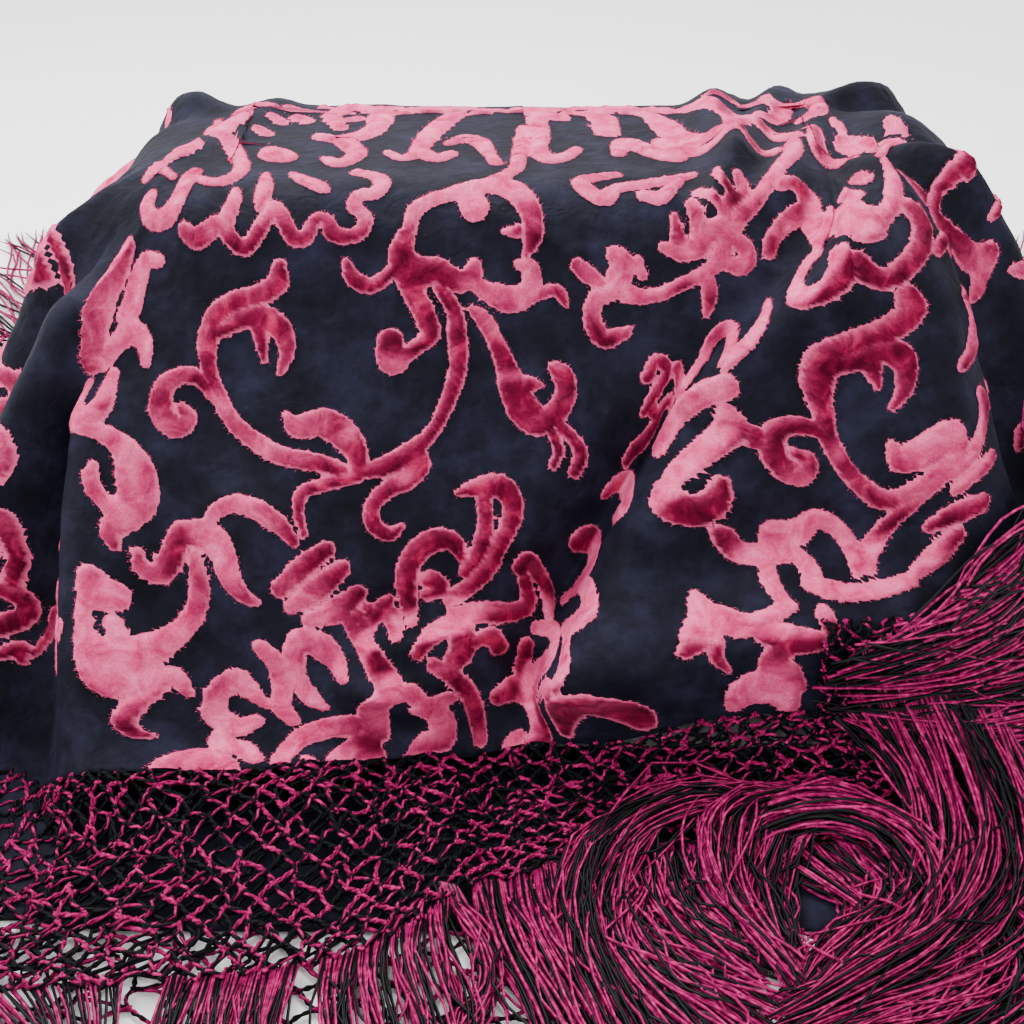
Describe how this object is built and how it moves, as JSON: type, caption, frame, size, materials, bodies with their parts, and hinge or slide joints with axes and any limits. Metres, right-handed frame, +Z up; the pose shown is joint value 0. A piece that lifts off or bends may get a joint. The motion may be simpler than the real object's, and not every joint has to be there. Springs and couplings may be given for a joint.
{
  "type": "piano shawl draped over a plain display block",
  "caption": "Fringed piano shawl of cut velvet scrolls on sheer dark crepe, with a knotted net border, draped over a plain rounded block.",
  "frame": {"origin": "middle of the block's flat base, on the surface that the part rests on", "axes": "+Z up, -Y towards the front that the picture shows, +X to the right of that front"},
  "size_m": [1.6219, 1.248, 0.2863],
  "materials": {
    "velvet_on_crepe": "sheer dark crepe with raised crimson velvet pile",
    "knotted_yarn": "knotted two-colour yarn, black and magenta",
    "fringe_floss": "glossy twisted floss, magenta and black",
    "block_board": "plain matt board"
  },
  "bodies": {
    "root": {"block": "block_board", "velvet_panel": "velvet_on_crepe", "under_panel": "velvet_on_crepe", "net_left": "knotted_yarn", "net_front": "knotted_yarn", "net_right": "knotted_yarn", "under_net": "knotted_yarn", "net_flap": "knotted_yarn", "fringe_left": "fringe_floss", "fringe_front": "fringe_floss", "fringe_right": "fringe_floss", "fringe_flap": "fringe_floss"}
  },
  "joints": []
}
